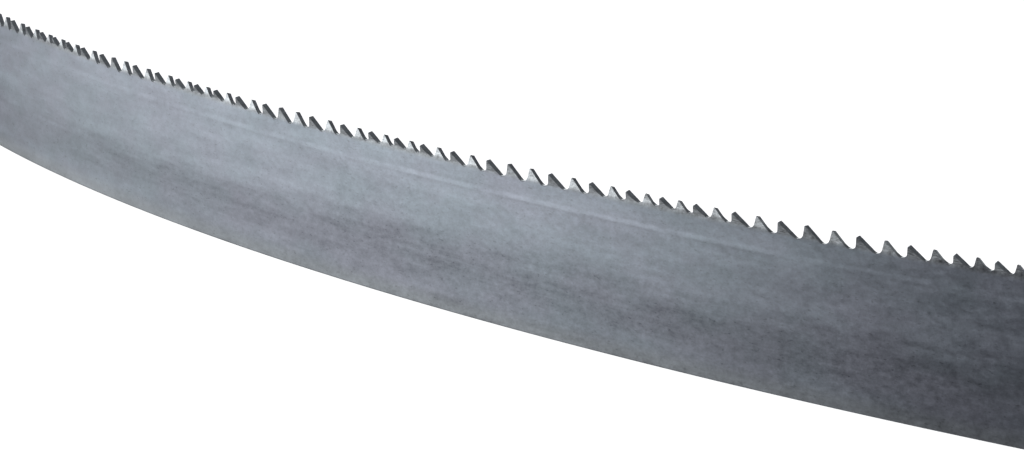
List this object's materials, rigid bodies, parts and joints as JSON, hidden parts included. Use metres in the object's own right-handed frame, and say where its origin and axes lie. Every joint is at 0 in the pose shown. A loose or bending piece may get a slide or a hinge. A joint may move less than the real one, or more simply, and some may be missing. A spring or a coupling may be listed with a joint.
{
  "type": "band saw blade",
  "caption": "Endless bowed steel band with set, variable-pitch saw teeth along one edge, standing on its back edge.",
  "frame": {"origin": "centre of the loop's footprint, in the plane of the band's back edge", "axes": "+Z from the back edge towards the tooth tips, +X along the loop's greatest length, -Y out of the middle of the long side that the picture shows"},
  "size_m": [0.8794, 0.6934, 0.027],
  "materials": {
    "backing_steel": "blasted satin grey, faint streaks along the band",
    "tooth_steel": "blasted satin grey, milled teeth with darker backs"
  },
  "bodies": {
    "root": {"backing_band": "backing_steel", "tooth_edge": "tooth_steel"}
  },
  "joints": []
}
